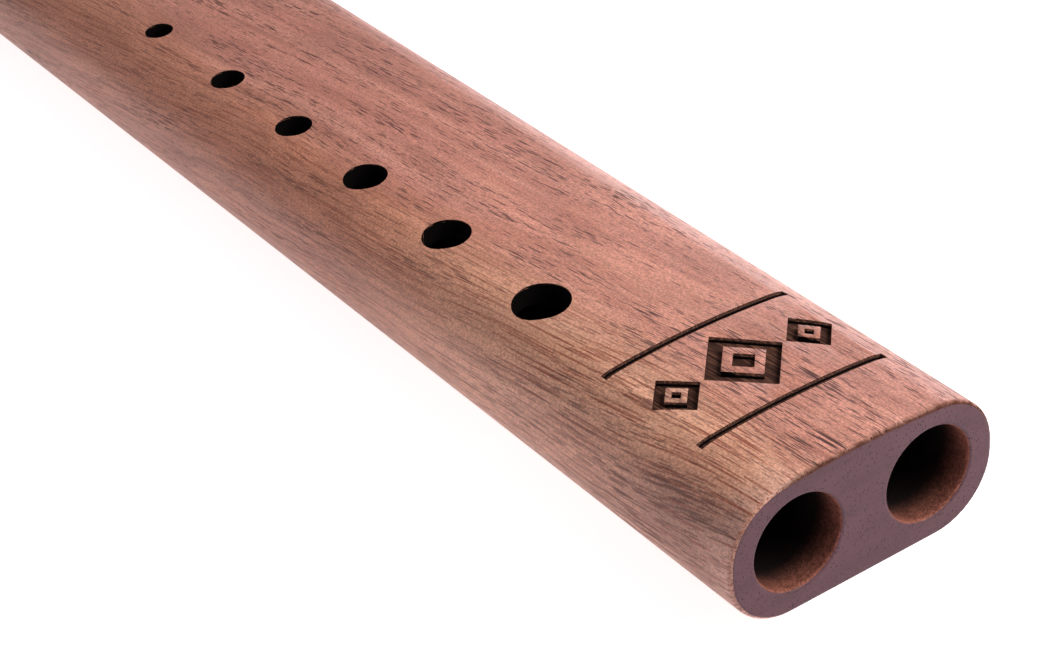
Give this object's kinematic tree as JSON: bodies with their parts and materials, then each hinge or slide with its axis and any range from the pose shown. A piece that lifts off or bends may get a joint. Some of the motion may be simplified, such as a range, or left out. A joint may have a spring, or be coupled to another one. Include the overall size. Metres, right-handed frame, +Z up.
{
  "type": "double flute",
  "caption": "Wooden drone flute: a flat round-edged body with a fingered bore beside a plain drone bore, each with its own air chamber, flue and sliding block.",
  "frame": {"origin": "centre of the foot's flat end face, midway between the two bore axes", "axes": "+Y along the bores from the foot to the mouthpiece, +Z up out of the finger holes, +X from the fingered bore to the drone bore"},
  "size_m": [0.0596, 0.5296, 0.0444],
  "materials": {
    "body_wood": "satin, oiled open-pored reddish brown wood",
    "mouthpiece_wood": "satin, the same wood as the body",
    "stopper_wood": "plain, unfinished wood inside the bores",
    "block_wood": "satin dark brown wood",
    "flue_brass": "brushed"
  },
  "bodies": {
    "flute": {"body": "body_wood", "mouthpiece": "mouthpiece_wood", "melody_stopper": "stopper_wood", "drone_stopper": "stopper_wood", "melody_flue_plate": "flue_brass", "drone_flue_plate": "flue_brass"},
    "melody_voicing": {"melody_block": "block_wood"},
    "drone_voicing": {"drone_block": "block_wood"}
  },
  "joints": [
    {"name": "melody_block_slide", "type": "slide", "parent": "flute", "child": "melody_voicing", "axis": [0, 1, 0], "range_m": [-0.0015, 0.003]},
    {"name": "drone_block_slide", "type": "slide", "parent": "flute", "child": "drone_voicing", "axis": [0, 1, 0], "range_m": [-0.0015, 0.003]}
  ]
}
